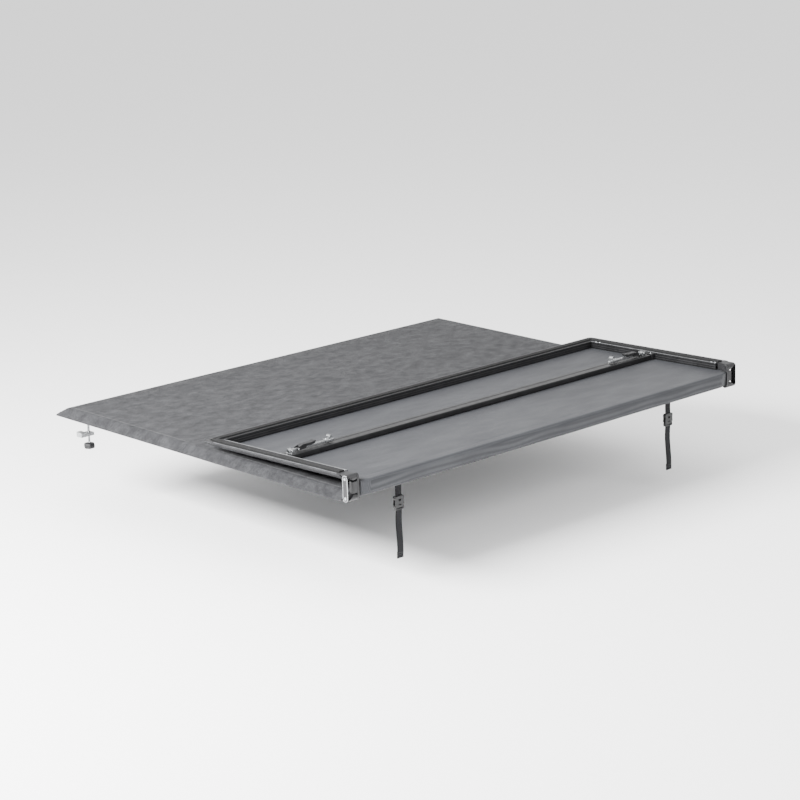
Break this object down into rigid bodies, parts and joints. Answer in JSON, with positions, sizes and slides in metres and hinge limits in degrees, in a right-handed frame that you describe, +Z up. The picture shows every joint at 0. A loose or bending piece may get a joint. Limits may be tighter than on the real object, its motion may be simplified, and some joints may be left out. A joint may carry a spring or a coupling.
{
  "type": "tonneau cover",
  "caption": "Soft tri-fold pickup bed cover: aluminium-framed cloth panels, link hinges, clamps and buckled straps, with the rear panel folded over.",
  "frame": {"origin": "on the plane of the bed rails, at the middle of the cover's cab edge", "axes": "+Y towards the cab, +X towards the passenger side, +Z up"},
  "size_m": [1.7, 1.3858, 0.3242],
  "materials": {
    "cloth": "grained coated cloth, satin",
    "black_rail": "black anodised, bright worn edges",
    "rubber": "matt",
    "moulding": "fine moulded grain",
    "zinc": "zinc plated",
    "webbing": "woven polyester"
  },
  "bodies": {
    "front_panel": {"front_bow": "black_rail", "front_cloth": "cloth", "front_knuckle_left": "moulding", "front_knuckle_right": "moulding", "front_rail_left": "black_rail", "front_rail_right": "black_rail", "front_seal": "rubber", "header_corner_left": "moulding", "header_corner_right": "moulding", "header_rail": "black_rail"},
    "front_links": {"front_fold_cloth": "cloth", "front_link_left": "moulding", "front_link_right": "moulding"},
    "middle_panel": {"middle_cloth": "cloth", "middle_front_bow": "black_rail", "middle_front_knuckle_left": "moulding", "middle_front_knuckle_right": "moulding", "middle_rail_left": "black_rail", "middle_rail_right": "black_rail", "middle_rear_bow": "black_rail", "middle_rear_knuckle_left": "moulding", "middle_rear_knuckle_right": "moulding", "middle_seal_left": "rubber", "middle_seal_right": "rubber"},
    "rear_links": {"rear_fold_cloth": "cloth", "rear_link_left": "moulding", "rear_link_right": "moulding"},
    "rear_panel": {"clamp_bracket_left": "zinc", "clamp_bracket_right": "zinc", "rear_bow": "black_rail", "rear_cloth": "cloth", "rear_knuckle_left": "moulding", "rear_knuckle_right": "moulding", "rear_rail_left": "black_rail", "rear_rail_right": "black_rail", "rear_seal": "rubber", "tail_corner_left": "moulding", "tail_corner_right": "moulding", "tail_rail": "black_rail"},
    "strap_tail_left": {"buckle_plug_left": "moulding", "strap_tail_left": "webbing"},
    "strap_tail_right": {"buckle_plug_right": "moulding", "strap_tail_right": "webbing"},
    "strap_left": {"buckle_socket_left": "moulding", "strap_web_left": "webbing"},
    "strap_right": {"buckle_socket_right": "moulding", "strap_web_right": "webbing"},
    "cab_jaw_left": {"cab_jaw_left": "zinc"},
    "cab_jaw_right": {"cab_jaw_right": "zinc"},
    "cab_screw_left": {"cab_screw_left": "moulding"},
    "cab_screw_right": {"cab_screw_right": "moulding"},
    "clamp_left": {"clamp_arm_left": "zinc"},
    "clamp_right": {"clamp_arm_right": "zinc"},
    "clamp_jaw_left": {"clamp_jaw_left": "zinc"},
    "clamp_jaw_right": {"clamp_jaw_right": "zinc"},
    "clamp_lever_left": {"clamp_lever_left": "moulding"},
    "clamp_lever_right": {"clamp_lever_right": "moulding"}
  },
  "joints": [
    {"name": "front_link_hinge", "type": "hinge", "parent": "front_panel", "child": "front_links", "pos_m": [0, -0.6425, 0.0148], "axis": [1, 0, 0], "range_deg": [-89, 0]},
    {"name": "front_fold", "type": "hinge", "parent": "front_links", "child": "middle_panel", "pos_m": [0, -0.7249, 0.0148], "axis": [1, 0, 0], "range_deg": [-89, 0], "deforming": ["front_fold_cloth"]},
    {"name": "rear_link_hinge", "type": "hinge", "parent": "middle_panel", "child": "rear_links", "pos_m": [0, -1.3654, 0.0148], "axis": [1, 0, 0], "range_deg": [0, 90.82]},
    {"name": "rear_fold", "type": "hinge", "parent": "rear_links", "child": "rear_panel", "pos_m": [0, -1.36459, 0.07119], "axis": [1, 0, 0], "range_deg": [0, 90.82], "deforming": ["rear_fold_cloth"]},
    {"name": "clamp_swing_left", "type": "hinge", "parent": "rear_panel", "child": "clamp_left", "pos_m": [-0.765, -1.04636, 0.07444], "axis": [0, -0.9996, 0.0288], "range_deg": [0, 90]},
    {"name": "clamp_lever_left", "type": "hinge", "parent": "clamp_left", "child": "clamp_lever_left", "pos_m": [-0.742, -1.04636, 0.07444], "axis": [0, -0.9996, 0.0288], "range_deg": [0, 75]},
    {"name": "clamp_jaw_left", "type": "slide", "parent": "clamp_left", "child": "clamp_jaw_left", "axis": [1, 0, 0], "range_m": [0, 0.01]},
    {"name": "cab_screw_left", "type": "hinge", "parent": "front_panel", "child": "cab_screw_left", "pos_m": [-0.778, -0.078, 0], "axis": [0, 0, 1], "range_deg": [-1800, 0]},
    {"name": "cab_jaw_left", "type": "slide", "parent": "front_panel", "child": "cab_jaw_left", "axis": [0, 0, 1], "range_m": [-0.015, 0]},
    {"name": "strap_swing_left", "type": "hinge", "parent": "middle_panel", "child": "strap_left", "pos_m": [-0.59, -1.3074, 0.002], "axis": [1, 0, 0], "range_deg": [0, 89]},
    {"name": "buckle_release_left", "type": "slide", "parent": "strap_left", "child": "strap_tail_left", "axis": [0, 0, -1], "range_m": [0, 0.035]},
    {"name": "clamp_swing_right", "type": "hinge", "parent": "rear_panel", "child": "clamp_right", "pos_m": [0.765, -1.04636, 0.07444], "axis": [0, 0.9996, -0.0288], "range_deg": [0, 90]},
    {"name": "clamp_lever_right", "type": "hinge", "parent": "clamp_right", "child": "clamp_lever_right", "pos_m": [0.742, -1.04636, 0.07444], "axis": [0, 0.9996, -0.0288], "range_deg": [0, 75]},
    {"name": "clamp_jaw_right", "type": "slide", "parent": "clamp_right", "child": "clamp_jaw_right", "axis": [-1, 0, 0], "range_m": [0, 0.01]},
    {"name": "cab_screw_right", "type": "hinge", "parent": "front_panel", "child": "cab_screw_right", "pos_m": [0.778, -0.078, 0], "axis": [0, 0, 1], "range_deg": [-1800, 0]},
    {"name": "cab_jaw_right", "type": "slide", "parent": "front_panel", "child": "cab_jaw_right", "axis": [0, 0, 1], "range_m": [-0.015, 0]},
    {"name": "strap_swing_right", "type": "hinge", "parent": "middle_panel", "child": "strap_right", "pos_m": [0.59, -1.3074, 0.002], "axis": [1, 0, 0], "range_deg": [0, 89]},
    {"name": "buckle_release_right", "type": "slide", "parent": "strap_right", "child": "strap_tail_right", "axis": [0, 0, -1], "range_m": [0, 0.035]}
  ],
  "couplings": [
    {"joint": "front_link_hinge", "follows": "front_fold", "ratio": 1},
    {"joint": "rear_link_hinge", "follows": "rear_fold", "ratio": 1},
    {"joint": "clamp_jaw_left", "follows": "clamp_lever_left", "m_per_rad": 0.0076394},
    {"joint": "cab_screw_left", "follows": "cab_jaw_left", "rad_per_m": 2094.4},
    {"joint": "strap_swing_left", "follows": "front_fold", "ratio": -1},
    {"joint": "clamp_jaw_right", "follows": "clamp_lever_right", "m_per_rad": 0.0076394},
    {"joint": "cab_screw_right", "follows": "cab_jaw_right", "rad_per_m": 2094.4},
    {"joint": "strap_swing_right", "follows": "front_fold", "ratio": -1}
  ]
}
